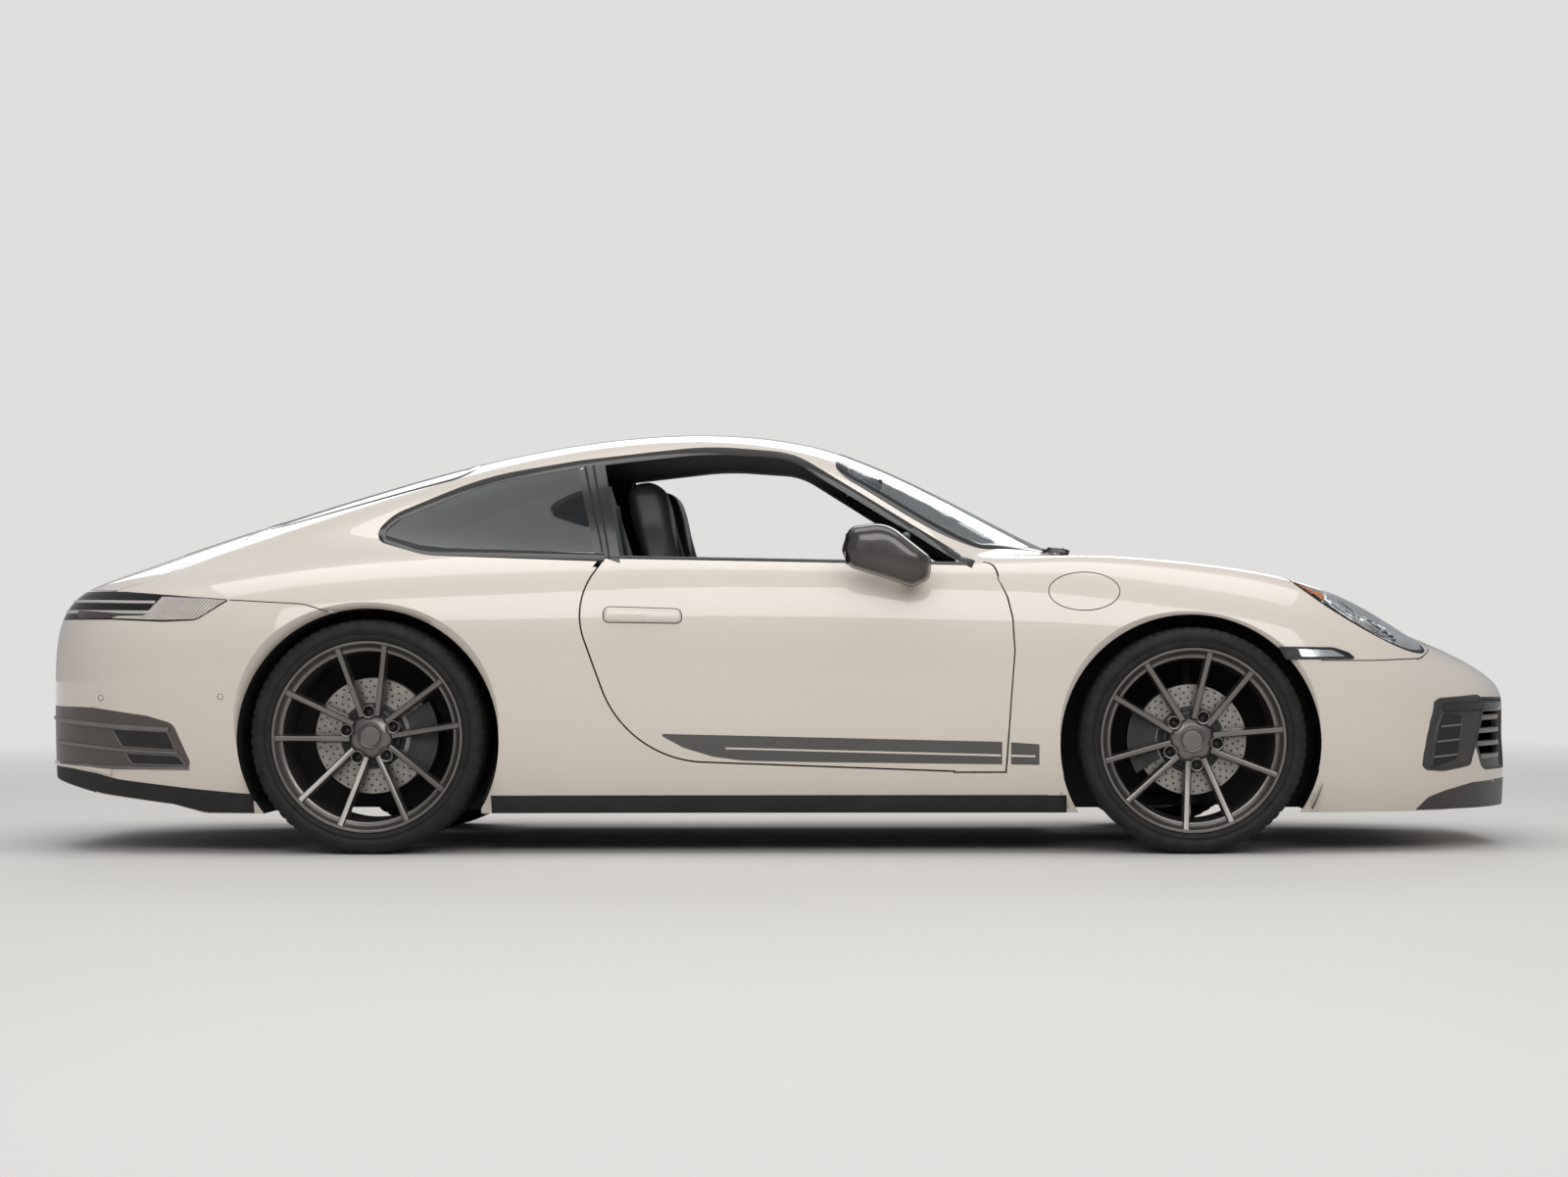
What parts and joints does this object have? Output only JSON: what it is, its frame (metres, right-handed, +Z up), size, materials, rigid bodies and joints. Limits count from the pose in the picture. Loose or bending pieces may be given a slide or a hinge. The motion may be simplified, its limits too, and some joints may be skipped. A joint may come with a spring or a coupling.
{
  "type": "rear-engined coupe car",
  "caption": "Two-door rear-engined coupe with a sloping tail, round lamps, hollow cabin, opening doors and lids, steered front wheels and turning wheels.",
  "frame": {"origin": "on the ground at mid length and mid width, under the middle of the overall box", "axes": "+X towards the front of the car, +Y towards its left side, +Z up"},
  "size_m": [4.519, 2.02, 1.2892],
  "materials": {
    "paint": "gloss",
    "glass": "clear",
    "dark_trim": "satin",
    "underbody": "matt",
    "lamp_front": "clear",
    "lamp_rear": "clear",
    "rim": "satin",
    "tyre": "matt",
    "steel": "matt",
    "exhaust_steel": "brushed",
    "cabin_trim": "grained",
    "seat_trim": "grained",
    "mirror_shell": "satin"
  },
  "bodies": {
    "car": {"roof_panel": "paint", "windscreen_frame": "paint", "windscreen": "glass", "rear_window": "glass", "quarter_windows": "glass", "front_wing_left": "paint", "front_wing_right": "paint", "sills": "paint", "quarter_panel_left": "paint", "quarter_panel_right": "paint", "floor_pan": "underbody", "luggage_tub": "underbody", "front_bumper": "paint", "front_grille": "dark_trim", "rear_bumper": "paint", "rear_insert": "dark_trim", "tail_lamp": "lamp_rear", "headlamps": "lamp_front", "hinge_pillars": "steel", "front_suspension": "steel", "rear_suspension": "steel", "engine_block": "steel", "exhaust": "exhaust_steel", "dashboard": "cabin_trim", "seat_left": "seat_trim", "seat_right": "seat_trim", "rear_seats": "seat_trim"},
    "door_left": {"door_left": "paint", "mirror_left": "mirror_shell"},
    "door_right": {"door_right": "paint", "mirror_right": "mirror_shell"},
    "front_lid": {"front_lid": "paint"},
    "rear_lid": {"rear_lid": "paint"},
    "knuckle_left": {"front_knuckle_left": "steel"},
    "knuckle_right": {"front_knuckle_right": "steel"},
    "front_left": {"wheel_front_left": "rim", "tyre_front_left": "tyre"},
    "front_right": {"wheel_front_right": "rim", "tyre_front_right": "tyre"},
    "rear_left": {"wheel_rear_left": "rim", "tyre_rear_left": "tyre"},
    "rear_right": {"wheel_rear_right": "rim", "tyre_rear_right": "tyre"},
    "steering_wheel": {"steering_wheel": "cabin_trim"}
  },
  "joints": [
    {"name": "door_left_hinge", "type": "hinge", "parent": "car", "child": "door_left", "pos_m": [0.621, 0.862, 0.5], "axis": [0, 0, -1], "range_deg": [0, 65]},
    {"name": "door_right_hinge", "type": "hinge", "parent": "car", "child": "door_right", "pos_m": [0.621, -0.862, 0.5], "axis": [0, 0, 1], "range_deg": [0, 65]},
    {"name": "front_lid_hinge", "type": "hinge", "parent": "car", "child": "front_lid", "pos_m": [1.08, 0, 0.81836], "axis": [0, -1, 0], "range_deg": [0, 55]},
    {"name": "rear_lid_hinge", "type": "hinge", "parent": "car", "child": "rear_lid", "pos_m": [-1.41, 0, 0.9], "axis": [0, 1, 0], "range_deg": [0, 45]},
    {"name": "knuckle_left_steer", "type": "hinge", "parent": "car", "child": "knuckle_left", "pos_m": [1.2485, 0.735, 0.175], "axis": [0, -0.271, 0.9626], "range_deg": [-32, 32]},
    {"name": "knuckle_right_steer", "type": "hinge", "parent": "car", "child": "knuckle_right", "pos_m": [1.2485, -0.735, 0.175], "axis": [0, 0.271, 0.9626], "range_deg": [-32, 32]},
    {"name": "front_left_spin", "type": "hinge", "parent": "knuckle_left", "child": "front_left", "pos_m": [1.2485, 0.79, 0.335], "axis": [0, 1, 0], "continuous": true},
    {"name": "front_right_spin", "type": "hinge", "parent": "knuckle_right", "child": "front_right", "pos_m": [1.2485, -0.79, 0.335], "axis": [0, 1, 0], "continuous": true},
    {"name": "rear_left_spin", "type": "hinge", "parent": "car", "child": "rear_left", "pos_m": [-1.2015, 0.764, 0.35], "axis": [0, 1, 0], "continuous": true},
    {"name": "rear_right_spin", "type": "hinge", "parent": "car", "child": "rear_right", "pos_m": [-1.2015, -0.764, 0.35], "axis": [0, 1, 0], "continuous": true},
    {"name": "steering_wheel_turn", "type": "hinge", "parent": "car", "child": "steering_wheel", "pos_m": [0.33, 0.36, 0.815], "axis": [-0.9135, 0, 0.4067], "range_deg": [-448, 448]}
  ],
  "couplings": [
    {"joint": "knuckle_right_steer", "follows": "knuckle_left_steer", "ratio": 1},
    {"joint": "steering_wheel_turn", "follows": "knuckle_left_steer", "ratio": 14}
  ]
}
